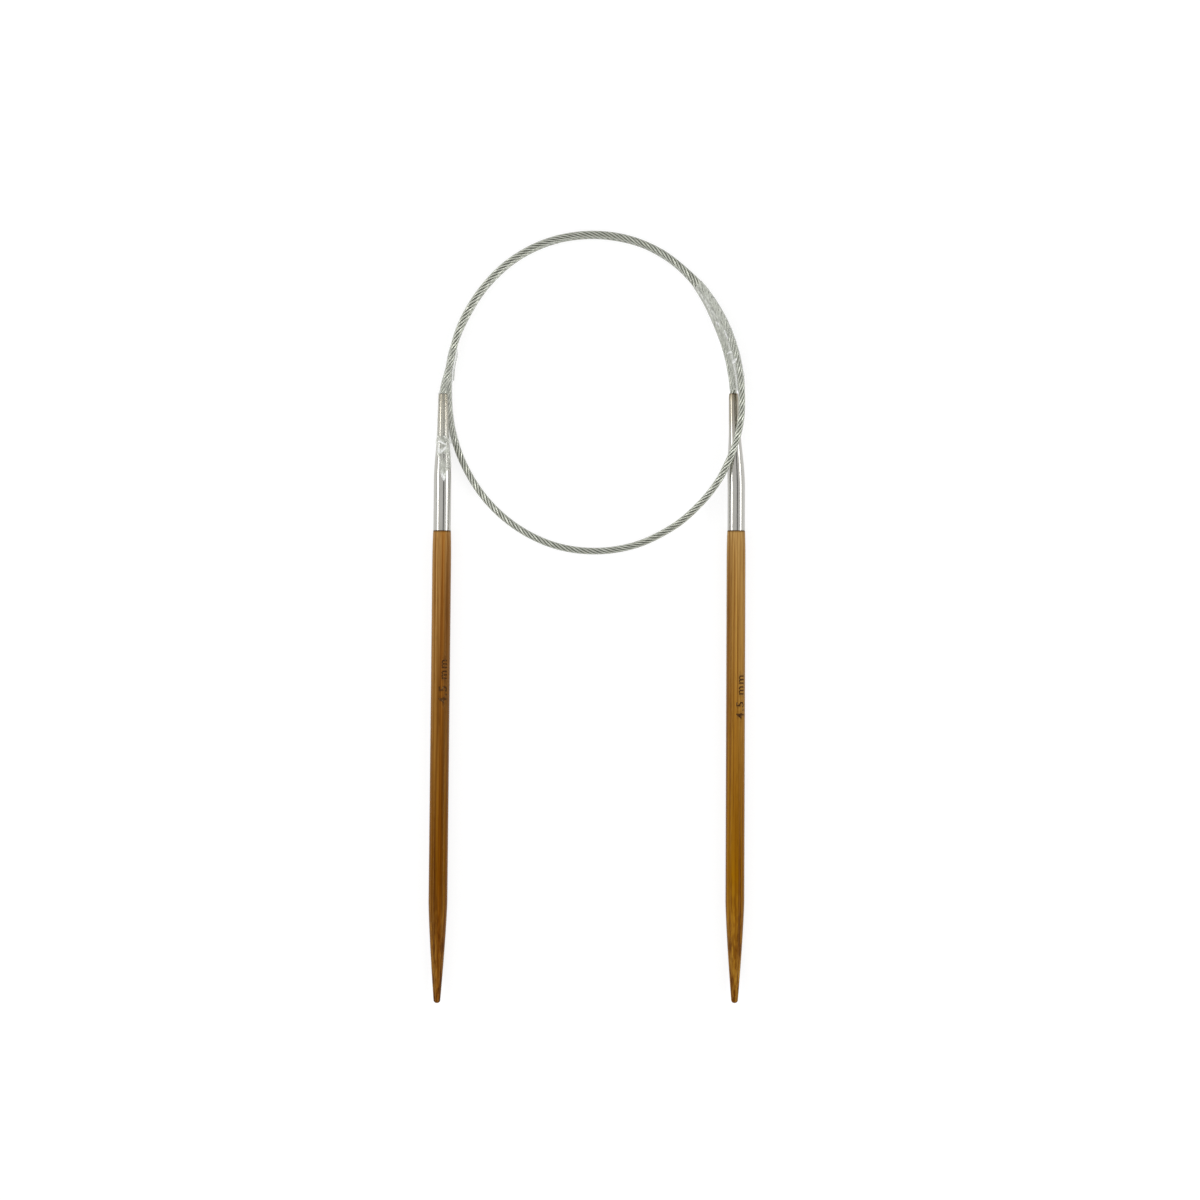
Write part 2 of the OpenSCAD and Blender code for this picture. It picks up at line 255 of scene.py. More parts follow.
class Finish:
    """A node material, with the few kinds of node call that the finishes below need."""

    def __init__(self, name):
        self.material = bpy.data.materials.new(name)
        self.material.use_nodes = True
        self.tree = self.material.node_tree
        self.tree.nodes.clear()

    def node(self, kind, options=None, sockets=None, out=0):
        """Adds a node: its options first, then the values or signals of its sockets."""
        made = self.tree.nodes.new(kind)
        for name, value in (options or {}).items():
            setattr(made, name, value)
        for name, value in (sockets or {}).items():
            socket = made.inputs[name]
            if isinstance(value, Signal):
                self.tree.links.new(value.socket, socket)
            elif socket.type == "RGBA" and len(value) == 3:
                socket.default_value = (*value, 1.0)
            else:
                socket.default_value = value
        return None if out is None else Signal(self, made.outputs[out])

    def spot(self):
        """Where a point of the piece is, in the part's frame."""
        return self.node("ShaderNodeTexCoord", out="Object")

    def part(self, vector, axis):
        """The X, Y or Z of a vector."""
        return self.node("ShaderNodeSeparateXYZ", None, {"Vector": vector}, out=axis)

    def attribute(self, name):
        """A number that the mesh has at each of its points."""
        return self.node("ShaderNodeAttribute", {"attribute_name": name}, out="Fac")

    def facing(self, blend):
        """How much the surface turns away from the view."""
        return self.node("ShaderNodeLayerWeight", None, {"Blend": blend}, out="Facing")

    def math(self, operation, *values, clamp=False):
        options = {"operation": operation, "use_clamp": clamp}
        return self.node("ShaderNodeMath", options, dict(enumerate(values)))

    def mix(self, factor, a, b, blend="MIX"):
        """Mixes two colours."""
        return self.node(
            "ShaderNodeMix", {"data_type": "RGBA", "blend_type": blend},
            {"Factor": factor, 6: a, 7: b}, out=2)

    def shade(self, body, *layers):
        """Multiplies a colour by the tint of each (amount, tint), by that amount."""
        for amount, tint in layers:
            body = self.mix(amount, body, self.mix(1.0, body, tint, "MULTIPLY"))
        return body

    def noise(self, vector, scale, detail=2.0, roughness=0.5):
        """Noise with this many blotches to a metre, or one such number for each axis."""
        if isinstance(scale, tuple):
            vector = self.node("ShaderNodeVectorMath", {"operation": "MULTIPLY"}, {0: vector, 1: scale})
            scale = 1.0
        return self.node(
            "ShaderNodeTexNoise", None,
            {"Vector": vector, "Scale": scale, "Detail": detail, "Roughness": roughness})

    def ramp(self, value, stops):
        """Reads a colour from rows of (place, colour), at this place between 0 and 1."""
        signal = self.node("ShaderNodeValToRGB", None, {"Fac": value})
        elements = signal.socket.node.color_ramp.elements
        while len(elements) < len(stops):
            elements.new(0.5)
        for element, (place, color) in zip(elements, stops):
            element.position = place
            element.color = (*color, 1.0)
        return signal

    def spread(self, value, low, high):
        """Stretches low to high over 0 to 1 and clips what is outside."""
        return self.node("ShaderNodeMapRange", None, {"Value": value, "From Min": low, "From Max": high})

    def bump(self, height, distance, strength):
        return self.node(
            "ShaderNodeBump", None, {"Height": height, "Distance": distance, "Strength": strength})

    def surface(self, **sockets):
        """Ends the material in a Principled surface. Socket names use _ for a space."""
        named = {name.replace("_", " "): value for name, value in sockets.items()}
        shader = self.node("ShaderNodeBsdfPrincipled", None, named)
        self.node("ShaderNodeOutputMaterial", None, {"Surface": shader}, out=None)
        return self.material


# ---- Where things lie ----


def needle_matrix(side):
    """Puts a needle drawn along +Z, with its shoulder at the origin, where the part has it."""
    shaft = settings("shaft")
    mount = next(m for m in frame["record"]["mounts"] if m["name"] == side + "_shaft_pin")
    to_tip = Vector(mount["axis"]).normalized()
    half = mount["dims"]["length_mm"] * MM / 2
    shoulder = Vector(mount["pos_m"]) - to_tip * (half + shaft.waist)
    lean = math.atan2(to_tip.x, -to_tip.y)
    return (Matrix.Translation(shoulder) @ Matrix.Rotation(lean, 4, "Z")
            @ Matrix.Rotation(math.radians(-90), 4, "X") @ Matrix.Rotation(ROLL[side], 4, "Z"))


def bent(point):
    """Carries a point of a straight ferrule to where the bend of the neck takes it."""
    ferrule = settings("ferrule")
    over = point.z - ferrule.barrel
    if over <= 0:
        return Vector(point)
    angle = min(over / ferrule.bend_radius, ferrule.bend)
    rest = over - angle * ferrule.bend_radius
    out = ferrule.bend_radius - point.x
    return Vector((
        ferrule.bend_radius - out * math.cos(angle) + rest * math.sin(angle),
        point.y,
        ferrule.barrel + out * math.sin(angle) + rest * math.cos(angle),
    ))


def on_middle(side, distance):
    """The point of a needle's middle line at this distance from its shoulder."""
    return needle_matrix(side) @ bent(Vector((0, 0, distance)))


def out_of(side):
    """The way that the cable leaves the mouth."""
    ferrule = settings("ferrule")
    return (on_middle(side, ferrule.length) - on_middle(side, ferrule.length - MM)).normalized()


def neck_radius(distance):
    """Outer radius of a ferrule at this distance from its rim."""
    ferrule = settings("ferrule")
    start = ferrule.barrel + ferrule.bend * ferrule.bend_radius
    over = distance - start
    neck = ferrule.length - start
    round_at = neck - ferrule.nose
    lip = bore_radius() + ferrule.lip
    if over <= 0:
        return ferrule.diameter / 2
    if over < ferrule.taper:
        ease = (1 - math.cos(math.pi * over / ferrule.taper)) / 2
        return ferrule.diameter / 2 + (ferrule.neck - ferrule.diameter) / 2 * ease
    if over < round_at:
        share = (over - ferrule.taper) / (round_at - ferrule.taper)
        return ferrule.neck / 2 + (ferrule.mouth - ferrule.neck) / 2 * share
    return lip + (ferrule.mouth / 2 - lip) * math.sqrt(max(0.0, 1 - ((over - round_at) / ferrule.nose) ** 2))


def bore_radius():
    cable = settings("cable")
    return cable.diameter / 2 + cable.gap


# ---- The cable's middle line ----


@functools.cache
def cable_way():
    """The points that the cable passes and the turn at each, from mouth to mouth."""
    ferrule = settings("ferrule")
    left = on_middle("left", ferrule.length)
    right = on_middle("right", ferrule.length)
    turns = [MOUTH_TURNS[0], *[row[0] for row in ROUTE], MOUTH_TURNS[1]]
    points = [left]
    for turn, distance, height in ROUTE:
        angle = math.radians(turn)
        points.append(Vector((
            LOOP_MIDDLE[0] + distance * math.sin(angle),
            left.y + LOOP_MIDDLE[1] + distance * math.cos(angle),
            height,
        )))
    points.append(right)
    return turns, points


def cable_at(turn):
    """The cable's middle at this turn, on the smooth curve through its route."""
    turns, way = cable_way()
    last = len(way) - 2
    i = max(k for k in range(last + 1) if turns[k] <= turn)
    t = (turn - turns[i]) / (turns[i + 1] - turns[i])
    b, c = way[i], way[i + 1]
    a = way[i - 1] if i > 0 else c - 2 * (c - b).length * out_of("left")
    d = way[i + 2] if i < last else b - 2 * (c - b).length * out_of("right")
    return (2 * b + (c - a) * t + (2 * a - 5 * b + 4 * c - d) * t * t
            + (3 * b - a - 3 * c + d) * t ** 3) / 2


def evenly(points, count):
    """Points in this many steps of one length along a line of points, and the line's length."""
    reach = [0.0]
    for a, b in zip(points, points[1:]):
        reach.append(reach[-1] + (b - a).length)
    placed = []
    k = 0
    for i in range(count + 1):
        goal = reach[-1] * i / count
        while k < len(points) - 2 and reach[k + 1] < goal:
            k += 1
        placed.append(points[k].lerp(points[k + 1], (goal - reach[k]) / (reach[k + 1] - reach[k])))
    return placed, reach[-1]


class Line:
    """Points at even steps along a line, each with its direction and a side that never twists."""

    def __init__(self, points, count):
        self.points, self.length = evenly(points, count)
        self.reach = [self.length * i / count for i in range(count + 1)]
        self.heading = [
            (self.points[min(i + 1, count)] - self.points[max(i - 1, 0)]).normalized()
            for i in range(count + 1)]
        side = self.heading[0].cross(UP).normalized()
        self.side = []
        for heading in self.heading:
            side = (side - heading * side.dot(heading)).normalized()
            self.side.append(side.copy())

    def index_at(self, reach):
        return round(reach / self.length * (len(self.points) - 1))

    def beside(self, i, distance, angle):
        """A point next to the line, at this angle round it."""
        across = self.side[i]
        up = self.heading[i].cross(across)
        return self.points[i] + (across * math.cos(angle) + up * math.sin(angle)) * distance


def cable_line():
    """The whole cable, from the left crimp to the right one, and the reach of each seam."""
    ferrule = settings("ferrule")
    seat = ferrule.length - ferrule.seat
    points = [on_middle("left", seat), on_middle("left", ferrule.length)]
    marks = {}
    reach = (points[1] - points[0]).length
    first, last = MOUTH_TURNS
    for turn in [first + TURN_STEP * k for k in range(1, round((last - first) / TURN_STEP) + 1)]:
        points.append(cable_at(min(turn, last - 1e-6)))
        reach += (points[-1] - points[-2]).length
        if turn in SEAM_TURNS:
            marks[turn] = reach
    points.append(on_middle("right", seat))
    reach += ferrule.seat
    return Line(points, round(reach / settings("cable").spacing)), [marks[turn] for turn in SEAM_TURNS]


# ---- Meshes ----


def added(name, data):
    """A new object in the scene."""
    piece = bpy.data.objects.new(name, data)
    bpy.context.scene.collection.objects.link(piece)
    return piece


def shown(name, mesh, material, node=None):
    """Makes an object of a finished mesh. It stands for the CAD node named."""
    piece = added(name, mesh)
    mesh.materials.clear()
    mesh.materials.append(material)
    if node:
        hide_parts(node)
    return piece


def from_bmesh(bm, name, sharp_angle=math.radians(32)):
    """A smooth mesh with its faces outwards and its hard edges kept sharp."""
    bmesh.ops.remove_doubles(bm, verts=bm.verts, dist=1e-8)
    bmesh.ops.recalc_face_normals(bm, faces=bm.faces)
    for face in bm.faces:
        face.smooth = True
    for edge in bm.edges:
        edge.smooth = len(edge.link_faces) == 2 and edge.calc_face_angle(0.0) < sharp_angle
    mesh = bpy.data.meshes.new(name)
    bm.to_mesh(mesh)
    bm.free()
    return mesh


def leading(start, end, count):
    """The numbers that lead from start to end in this many even steps, the last of them end."""
    return [start + (end - start) * k / count for k in range(1, count + 1)]


def lathe(profile, steps):
    """Spins an outline of (radius, height) points about Z."""
    bm = bmesh.new()
    verts = [bm.verts.new((radius, 0, height)) for radius, height in profile]
    edges = [bm.edges.new(pair) for pair in zip(verts, verts[1:])]
    bmesh.ops.spin(
        bm, geom=verts + edges, cent=(0, 0, 0), axis=(0, 0, 1), dvec=(0, 0, 0),
        angle=2 * math.pi, steps=steps, use_merge=True, use_duplicate=False)
    return bm


def meshed(data):
    """The mesh that a curve or a text makes, as a BMesh."""
    holder = added(data.name, data)
    mesh = bpy.data.meshes.new_from_object(holder.evaluated_get(bpy.context.evaluated_depsgraph_get()))
    bpy.data.objects.remove(holder)
    bm = bmesh.new()
    bm.from_mesh(mesh)
    bpy.data.meshes.remove(mesh)
    return bm


def tubes(name, lines, radius, roundness, start, length):
    """A mesh with a closed tube round each line. U runs along it in metres and V once round it.

    Its height attribute is the distance from the first line, which the others may wind round.
    """
    curve = bpy.data.curves.new(name, "CURVE")
    curve.dimensions = "3D"
    curve.bevel_depth = radius
    curve.bevel_resolution = roundness
    curve.use_fill_caps = True
    for points in lines:
        spline = curve.splines.new("POLY")
        spline.points.add(len(points) - 1)
        for point, place in zip(spline.points, points):
            point.co = (*place, 1.0)
    bm = meshed(curve)
    uv = bm.loops.layers.uv[0]
    for corner in [corner for face in bm.faces for corner in face.loops]:
        corner[uv].uv.x = start + corner[uv].uv.x * length
    middle = kdtree.KDTree(len(lines[0]))
    for i, point in enumerate(lines[0]):
        middle.insert(point, i)
    middle.balance()
    height = bm.verts.layers.float.new("height")
    for vert in bm.verts:
        vert[height] = middle.find(vert.co)[2]
    return from_bmesh(bm, name, math.radians(50))


# ---- Finishes ----


def placed_coordinates(finish, side):
    """Coordinates along a needle: Z runs from its shoulder towards the mouth."""
    back = needle_matrix(side).inverted()
    return finish.node(
        "ShaderNodeMapping", None,
        {"Vector": finish.spot(), "Location": back.translation, "Rotation": back.to_euler()})


# How far up a shaft, from 0 at its tip, and how much of its upper colour it has there
BAMBOO_FADE = ((0.06, 0.18), (0.16, 0.12), (0.27, 0.0), (0.43, 0.1), (0.6, 0.26), (0.85, 0.65), (1.0, 1.0))


def bamboo(side):
    """Oiled bamboo: long pale and dark fibres, darker towards the tip, with a soft polish."""
    shaft = settings("shaft")
    upper, lower = getattr(shaft, side + "_upper"), getattr(shaft, side + "_lower")
    finish = Finish(side + "_bamboo")
    spot = placed_coordinates(finish, side)
    height = finish.part(spot, "Z")
    body = finish.ramp(
        finish.spread(height, -shaft.length, 0.0),
        [(place, [a + (b - a) * share for a, b in zip(lower, upper)]) for place, share in BAMBOO_FADE])
    strips = finish.noise(spot, (1000, 1000, 10), 2.0, 0.55)
    streaks = finish.noise(spot, (2300, 2300, 17), 2.0, 0.55)
    fibres = finish.noise(spot, (5600, 5600, 40), 3.0, 0.6)
    dashes = finish.spread(finish.noise(spot, (7000, 7000, 210), 1.0), 0.6, 0.72)
    body = finish.shade(
        body,
        (finish.spread(strips, 0.42, 0.66), (0.66, 0.54, 0.36)),
        (finish.spread(streaks, 0.47, 0.64) * 0.85, (0.58, 0.44, 0.26)),
        (finish.spread(fibres, 0.46, 0.7) * 0.6, (0.6, 0.5, 0.36)),
        (finish.spread(streaks, 0.46, 0.28) * 0.7, (1.34, 1.36, 1.2)))
    if side == "left":
        # Painted light: this shaft is painted paler along one side, as the side lamp's highlight, and darker and
        # redder along its middle, as shade.
        across = finish.part(spot, "Y") + (strips - 0.5) * 0.0012
        pale = finish.spread(across, -0.0002, -0.0011)
        painted_middle_shade = 1.0 - finish.spread(finish.math("ABSOLUTE", across - 0.0003), 0.0002, 0.0007)
        body = finish.shade(body, (pale, (1.18, 1.24, 1.3)), (painted_middle_shade, (1.0, 0.86, 0.6)))
    taper = 1.0 - finish.spread(height, -shaft.length, 0.008 - shaft.length + shaft.tip_length)
    blotches = finish.noise(spot, (1500, 1500, 330), 3.0, 0.6)
    # Darker in a thin ring at the joint with the ferrule.
    joint_darkening = 1.0 - finish.spread(finish.math("ABSOLUTE", height), 0.0001, 0.0005)
    body = finish.shade(
        body,
        (taper * finish.spread(blotches, 0.5, 0.6), (0.42, 0.28, 0.2)),
        (taper * finish.spread(blotches, 0.47, 0.37) * 0.85, (1.35, 1.55, 1.9)),
        (dashes * 0.45, (0.4, 0.32, 0.25)),
        (joint_darkening * 0.85, (0.2, 0.17, 0.15)))
    return finish.surface(
        Base_Color=body, Roughness=0.12 + finish.spread(fibres, 0.3, 0.8) * 0.1,
        Specular_IOR_Level=0.1, Specular_Tint=(1.0, 0.75, 0.35, 1.0),
        Sheen_Weight=0.6, Sheen_Roughness=0.3, Sheen_Tint=(1.0, 0.74, 0.32, 1.0),
        Normal=finish.bump(fibres * 0.6 - dashes * 0.5, 0.00002, 0.5))


def burnt(side):
    """The scorched floor of the figures that are cut into the shaft."""
    finish = Finish(side + "_burnt_mark")
    soot = finish.noise(placed_coordinates(finish, side), (4000, 4000, 1600), 3.0, 0.6)
    tone = finish.mix(finish.spread(soot, 0.3, 0.62), (0.045, 0.018, 0.006), (0.12, 0.052, 0.015))
    tone = finish.mix(finish.spread(soot, 0.62, 0.7) * 0.8, tone, (0.42, 0.26, 0.1))
    return finish.surface(Base_Color=tone, Roughness=0.8, Specular_IOR_Level=0.05)


# The nickel near each mouth: its tint, partly the metal's own warm tone and partly painted shade for
# the neck's dark reflections, deeper on the right, and how far back from the mouth the brown tarnish
# starts and is full
WARM_AND_SHADED_NECK = {"left": (0.92, 0.87, 0.76), "right": (0.78, 0.74, 0.65)}
TARNISH_REACH = {"left": (0.0034, 0.0016), "right": (0.0022, 0.0012)}


def nickel(side):
    """Bright nickel plate with faint drawing lines and a little handling haze."""
    ferrule = settings("ferrule")
    finish = Finish(side + "_nickel_plate")
    spot = placed_coordinates(finish, side)
    lines = finish.noise(spot, (9000, 9000, 160), 2.0, 0.6)
    haze = finish.noise(spot, (700, 700, 260), 3.0, 0.55)
    tone = finish.mix(finish.spread(haze, 0.35, 0.8) * 0.4, ferrule.color, (0.4, 0.385, 0.34))
    height = finish.part(spot, "Z")
    # Painted shade: the neck is tinted warm and darker towards the mouth, deeper on the right, partly the metal's
    # own warm tone.
    warmed_and_shaded = finish.spread(height, ferrule.length - 0.012, ferrule.length - 0.005)
    start, full = [ferrule.length - reach for reach in TARNISH_REACH[side]]
    browned = finish.spread(height + (haze - 0.5) * 0.002, start, full)
    lip = finish.spread(height, ferrule.length - 0.0006, ferrule.length - 0.0001)
    tone = finish.mix(browned, finish.shade(tone, (warmed_and_shaded, WARM_AND_SHADED_NECK[side])), ferrule.tarnish)
    tone = finish.shade(tone, (lip, (0.5, 0.42, 0.34)))
    rough = 0.07 + finish.spread(haze, 0.35, 0.85) * 0.09 + lines * 0.03 + browned * 0.16
    return finish.surface(
        Base_Color=tone, Metallic=1.0, Roughness=rough, Normal=finish.bump(lines, 0.000004, 0.35))


def drawn_steel(name, color, roughness):
    """Plain drawn steel, as on the crimps and the bare wire."""
    finish = Finish(name)
    lines = finish.noise(finish.spot(), (6000, 500, 6000), 3.0, 0.6)
    tone = finish.mix(finish.spread(lines, 0.3, 0.75), color, [0.72 * part for part in color])
    return finish.surface(
        Base_Color=tone, Metallic=0.95, Roughness=roughness + lines * 0.15,
        Normal=finish.bump(lines, 0.000008, 0.4))


def strand_steel():
    """Fine wires laid into strands. The pattern follows the strands' own U and V."""
    cable = settings("cable")
    finish = Finish("strand_steel")
    uv = finish.node("ShaderNodeUVMap", {"uv_map": "UVMap"})
    wires_round, wire_lay = 6.0, cable.lay * 0.55
    turns = finish.part(uv, "Y") * wires_round - finish.part(uv, "X") / wire_lay
    wires = finish.math("SINE", turns * (2 * math.pi))
    wear = finish.noise(uv, (2500, 3, 1), 2.0, 0.6)
    painted_groove_shade = finish.spread(finish.attribute("height"), 1.47 * cable.strand, 1.28 * cable.strand)
    # The steel is a little darker from place to place; then shade is painted between its wires and, deepest,
    # between its strands.
    patches = finish.spread(finish.noise(finish.spot(), 260.0), 0.35, 0.7)
    tone = finish.mix(patches * 0.35, cable.steel, [a * b for a, b in zip(cable.steel, (0.7, 0.7, 0.6))])
    tone = finish.shade(
        tone,
        (1.0 - finish.spread(wires, -1.0, -0.2), (0.5, 0.5, 0.46)),
        (finish.spread(wear, 0.4, 0.8) * 0.5, (1.4, 1.4, 1.4)),
        (painted_groove_shade, (0.19, 0.2, 0.16)))
    return finish.surface(
        Base_Color=tone, Metallic=0.85, Roughness=0.26 + wear * 0.15,
        Normal=finish.bump(wires, 0.00002, 0.6))


def clear_coating():
    """The clear coat over the rope: see-through face on, paler and denser towards its edges."""
    finish = Finish("clear_coating")
    facing = finish.facing(0.5)
    cloud = finish.noise(finish.spot(), 900.0, 3.0, 0.6)
    alpha = 0.12 + facing ** 2.0 * 0.85 + (cloud - 0.5) * 0.1
    return finish.surface(
        Base_Color=settings("cable").coating, Roughness=0.2, Alpha=alpha, IOR=1.5, Specular_IOR_Level=0.8,
        Normal=finish.bump(cloud, 0.00001, 0.3))


def film_finish(name):
    """Clear film: its fog attribute is how cloudy it is, and it is painted white where it is creased, partly its
    own whitening and partly painted glints.
    """
    film = settings("film")
    finish = Finish(name)
    fog = finish.attribute("fog")
    folds = finish.noise(finish.spot(), (1800, 700, 1800), 3.0, 0.6)
    facing = finish.facing(0.35)
    uneven = (finish.spread(folds, 0.3, 0.7) - 0.5) * finish.spread(fog, 0.13, 0.3) * 1.4
    alpha = finish.math("ADD", fog * (1.0 + uneven), facing ** 3.0 * 0.22, clamp=True)
    tone = finish.mix(finish.spread(fog, 0.62, 0.8), film.color, film.crease_and_glint)
    return finish.surface(
        Base_Color=tone, Roughness=0.14, Alpha=alpha, Specular_IOR_Level=0.8,
        Normal=finish.bump(folds, 0.00006, 0.5))


# ---- Pieces ----


# Where the size is cut on each shaft: where it starts below the ferrule, and how far its middle
# leans to the right of the shaft's top. It reads towards the ferrule, with its tops to the left.
MARK_START = {"left": -0.0409, "right": -0.0446}
MARK_LEAN = {"left": math.radians(43), "right": math.radians(54)}


def size_cutter(side):
    """The shaft's size in plain figures, bent round the bamboo, as a solid to cut away."""
    shaft = settings("shaft")
    words = bpy.data.curves.new(side + "_figures", "FONT")
    words.body = shaft.size_text
    words.size = shaft.text_height
    words.space_character = 1.22
    words.resolution_u = 6
    words.offset = shaft.text_height * 0.012
    bm = meshed(words)
    bmesh.ops.remove_doubles(bm, verts=bm.verts, dist=1e-7)
    # Narrow bands let the faces bend round the shaft.
    step = shaft.text_height / 12
    for k in range(-4, 14):
        geom = bm.verts[:] + bm.edges[:] + bm.faces[:]
        bmesh.ops.bisect_plane(bm, geom=geom, plane_co=(0, k * step, 0), plane_no=(0, 1, 0), dist=1e-8)
    raised = bmesh.ops.extrude_face_region(bm, geom=bm.faces[:])
    top = [item for item in raised["geom"] if isinstance(item, bmesh.types.BMVert)]
    clear_of_the_bamboo = 0.0003
    bmesh.ops.translate(bm, verts=top, vec=(0, 0, shaft.text_depth + clear_of_the_bamboo))
    for vert in bm.verts:
        radius = shaft.diameter / 2 - shaft.text_depth + vert.co.z
        angle = MARK_LEAN[side] - vert.co.y / (shaft.diameter / 2)
        vert.co = (radius * math.sin(angle), radius * math.cos(angle), MARK_START[side] + vert.co.x)
    # Drawn with +X to the right and +Y up from the table, whatever way the ferrule is rolled
    upright = needle_matrix(side) @ Matrix.Rotation(-ROLL[side], 4, "Z") @ Matrix.Diagonal((1, -1, 1, 1))
    bmesh.ops.transform(bm, matrix=upright, verts=bm.verts)
    bmesh.ops.recalc_face_normals(bm, faces=bm.faces)
    mesh = bpy.data.meshes.new(side + "_figures")
    bm.to_mesh(mesh)
    bm.free()
    return mesh


def shaft_profile():
    """Outline of a shaft from its tenon to its blunt point."""
    shaft = settings("shaft")
    ferrule = settings("ferrule")
    full = shaft.diameter / 2
    joint = ferrule.diameter / 2 + shaft.step
    tip = shaft.tip_diameter / 2
    chamfer, round_off, row = 0.0003, 0.00004, 0.002
    points = [
        (0, shaft.tenon), (shaft.tenon_radius - chamfer, shaft.tenon),
        (shaft.tenon_radius, shaft.tenon - chamfer), (shaft.tenon_radius, 0.0),
        (joint - round_off, 0.0), (joint, -round_off)]
    points += [(full - (full - joint) * (1 - s) ** 3, -shaft.waist * s) for s in leading(0, 1, 12)]
    straight = shaft.length - shaft.waist - shaft.tip_length
    taper_from = shaft.tip_length - shaft.length
    points += [(full, s) for s in leading(-shaft.waist, taper_from, round(straight / row))[:-1]]

    def taper(s):
        return tip + (full - tip) * (1 - (1 - s / shaft.tip_length) ** shaft.fullness)

    points += [
        (taper(s), s - shaft.length)
        for s in [shaft.tip_length, *leading(shaft.tip_length, tip, 28)[:-1]]]
    points += [
        (taper(tip) * math.cos(a), tip * (1 - math.sin(a)) - shaft.length)
        for a in [0, *leading(0, QUARTER, 10)[:-1]]]
    points.append((0, -shaft.length))
    return points


def ferrule_profile():
    """Outline of a ferrule: up the outside from its rim, over the lip and back down its bores."""
    ferrule = settings("ferrule")
    outer = ferrule.diameter / 2
    start = ferrule.barrel + ferrule.bend * ferrule.bend_radius
    seat = ferrule.length - ferrule.seat
    bore = bore_radius()
    points = [(outer - ferrule.rim, 0.0)]
    points += [
        (outer - ferrule.rim * (1 - math.sin(a)), ferrule.rim * (1 - math.cos(a)))
        for a in leading(0, QUARTER, 4)]
    points += [(outer, u) for u in (*leading(0, ferrule.barrel, 4), *leading(ferrule.barrel, start, 4))]
    nose_start = ferrule.length - ferrule.nose
    nose = [nose_start + ferrule.nose * math.sin(a) for a in leading(0, QUARTER, 14)]
    points += [(neck_radius(u), u) for u in (*leading(start, nose_start, 44), *nose)]
    points += [(bore, ferrule.length), (bore, seat), (ferrule.chamber, seat)]
    points += [(ferrule.chamber, u) for u in leading(seat, ferrule.socket, 6)]
    socket = outer - ferrule.wall
    points += [(socket, ferrule.socket), (socket, 0.0), points[0]]
    return points


def cable_pieces():
    """Coating and rope of the cable, in the stretch of each needle and the stretch of the loop."""
    cable = settings("cable")
    line, seams = cable_line()
    cuts = [0, *[line.index_at(reach) for reach in seams], len(line.points) - 1]
    coating = clear_coating()
    steel = strand_steel()
    for node, first, last in zip(("left_lead", "cable_loop", "right_lead"), cuts, cuts[1:]):
        inside = range(first, last + 1)
        start = line.reach[first]
        length = line.reach[last] - start
        strands = [[line.points[i] for i in inside]]
        for k in range(cable.strands):
            strands.append([
                line.beside(i, cable.strand, 2 * math.pi * (k / cable.strands + line.reach[i] / cable.lay))
                for i in inside])
        name = node + "_rope"
        mesh = tubes(name, strands, cable.strand / 2, 3, start, length)
        rope = shown(name, mesh, steel)
        # The coating is plain, so it needs only every third point.
        middle = [line.points[i] for i in [*range(first, last, 3), last]]
        name = node + "_coating"
        mesh = tubes(name, [middle], cable.diameter / 2, 10, start, length)
        coat = shown(name, mesh, coating, node)
        carry(coat, rope, node)
        middle[0] if node != "right_lead" else middle[-1]
        middle if node != "right_lead" else middle[::-1]


def carry(coat, rope, node):
    """The loop's stretch rides on the loop; a needle's stretch stays fixed in the part's frame."""
    if node == "cable_loop":
        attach(coat, "loop")
        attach(rope, "loop")
        return
    side = node.split("_")[0]
    for piece in (coat, rope):
        side + "_needle"
        flex_zone(side)
        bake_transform(piece)


def flex_zone(side):
    """The mouth, and a point just past the hinge of the needle's swing."""
    ferrule = settings("ferrule")
    mouth = on_middle(side, ferrule.length)
    hinge = next(Vector(j["pos_m"]) for j in frame["joints"] if j["name"] == side + "_swing")
    past_hinge = 1.05
    return mouth, hinge + (hinge - mouth) * past_hinge


# ---- Film ----


def belt(a, a_radius, b, b_radius, forward, angle, gap):
    """A point of a belt round two round things side by side, in the direction of angle."""
    across = forward.cross(UP).normalized()
    way = across * math.cos(angle) + UP * math.sin(angle)
    if a.dot(way) + a_radius > b.dot(way) + b_radius:
        return a + way * (a_radius + gap)
    return b + way * (b_radius + gap)


def left_station(turn):
    """What the left tie holds: the neck and the cable beside it, then both turns of the cable."""
    ferrule = settings("ferrule")
    radius = settings("cable").diameter / 2
    second = cable_at(turn)
    over = second.y - on_middle("left", ferrule.length).y
    if over < 0:
        reach = ferrule.length + over
        neck = neck_radius(min(reach, ferrule.length - ferrule.nose))
        return on_middle("left", reach), neck, second, radius, Vector((0, 1, 0))
    angle = math.radians(turn)
    narrowing = 0.0012
    wide = radius + (ferrule.mouth / 2 - radius) * max(0.0, 1 - over / narrowing)
    first = cable_at(max(turn - 360, MOUTH_TURNS[0]))
    return first, wide, second, radius, Vector((math.cos(angle), -math.sin(angle), 0))


def right_station(turn):
    """What the right tie holds: both turns of the cable."""
    radius = settings("cable").diameter / 2
    angle = math.radians(turn)
    forward = Vector((-math.cos(angle), math.sin(angle), 0))
    return cable_at(turn), radius, cable_at(turn + 360), radius, forward


# Steps round a tie
TIE_AROUND = 110
